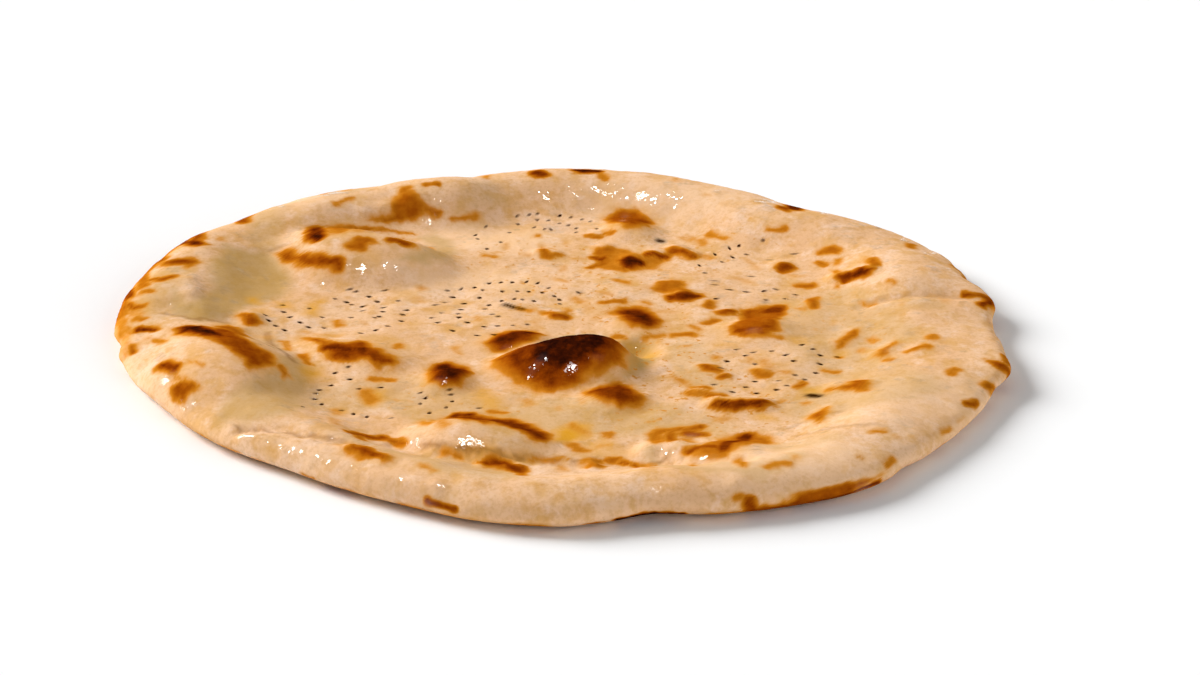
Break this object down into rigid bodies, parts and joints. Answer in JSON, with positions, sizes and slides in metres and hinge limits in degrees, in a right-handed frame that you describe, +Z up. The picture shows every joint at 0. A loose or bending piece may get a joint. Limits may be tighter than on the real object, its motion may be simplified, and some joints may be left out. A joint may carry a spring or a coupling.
{
  "type": "naan bread",
  "caption": "Round flat tandoor bread with a puffed, uneven rim, a thin middle stamped with rings of docking holes, and raised browned blisters.",
  "frame": {"origin": "under the middle of the bread's box, on the flat underside it rests on", "axes": "+Z up out of the baked top, +X across the bread's widest way to the side with the low rim, +Y away from the near edge"},
  "size_m": [0.3022, 0.2894, 0.0182],
  "materials": {
    "baked_dough": null
  },
  "bodies": {
    "root": {"naan": "baked_dough"}
  },
  "joints": []
}
